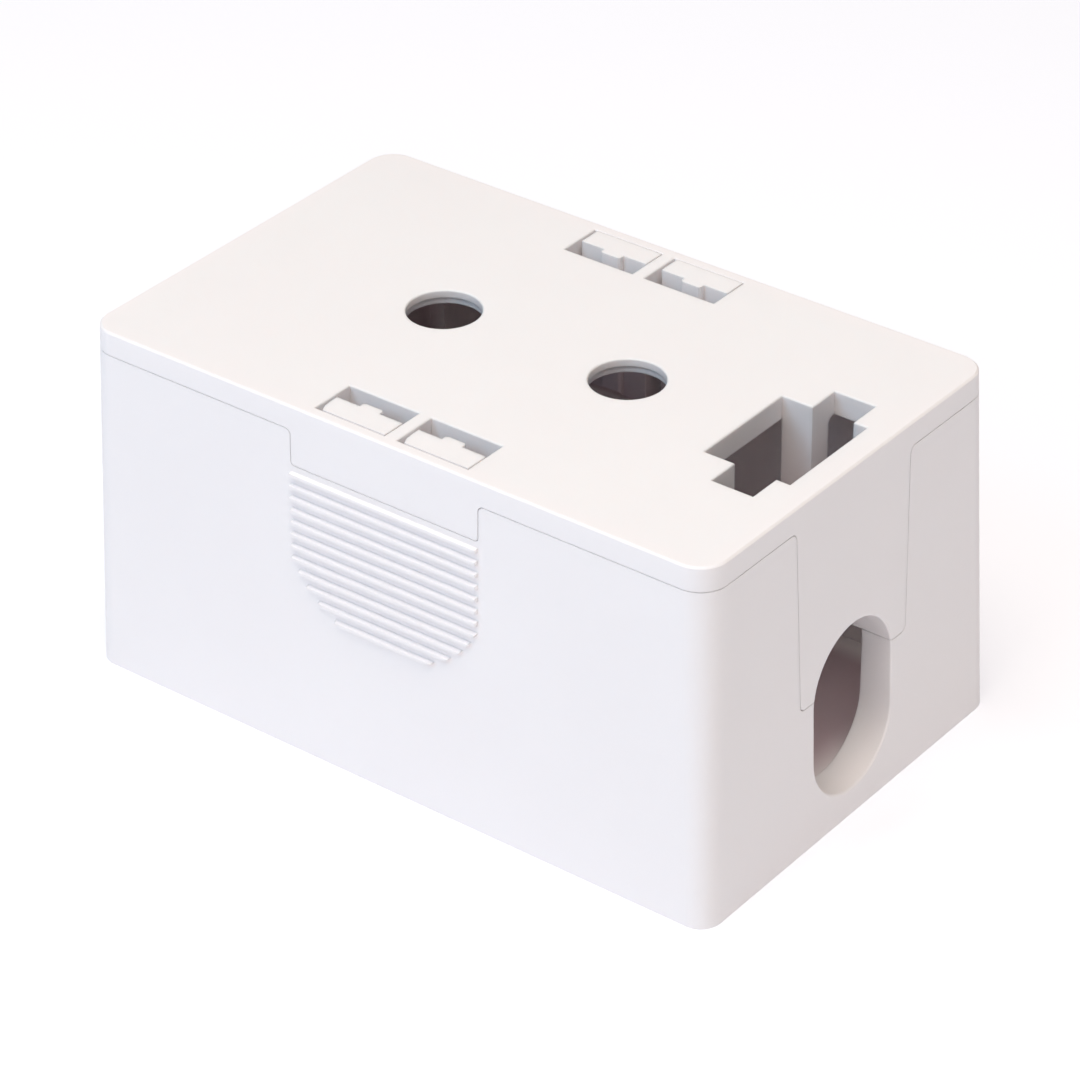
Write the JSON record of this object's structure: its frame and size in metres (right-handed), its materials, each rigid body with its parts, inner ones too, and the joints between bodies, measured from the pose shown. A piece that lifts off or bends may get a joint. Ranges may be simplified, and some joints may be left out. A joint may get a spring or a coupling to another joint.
{
  "type": "surface mount jack box",
  "caption": "Surface mount jack box: screw-down base with latch arms and ribbed grips, and a lift-off lid with one keyed jack port in its face.",
  "frame": {"origin": "centre of the mounting face, at the bottom of the box", "axes": "+X along the box towards the cable entry, +Y across it, +Z from the mounting face to the lid"},
  "size_m": [0.1174, 0.074, 0.0596],
  "materials": {
    "housing_plastic": "satin moulded white"
  },
  "bodies": {
    "base": {"base": "housing_plastic"},
    "lid": {"lid": "housing_plastic"}
  },
  "joints": [
    {"name": "lid_lift", "type": "slide", "parent": "base", "child": "lid", "axis": [0, 0, 1], "range_m": [0, 0.045]}
  ]
}
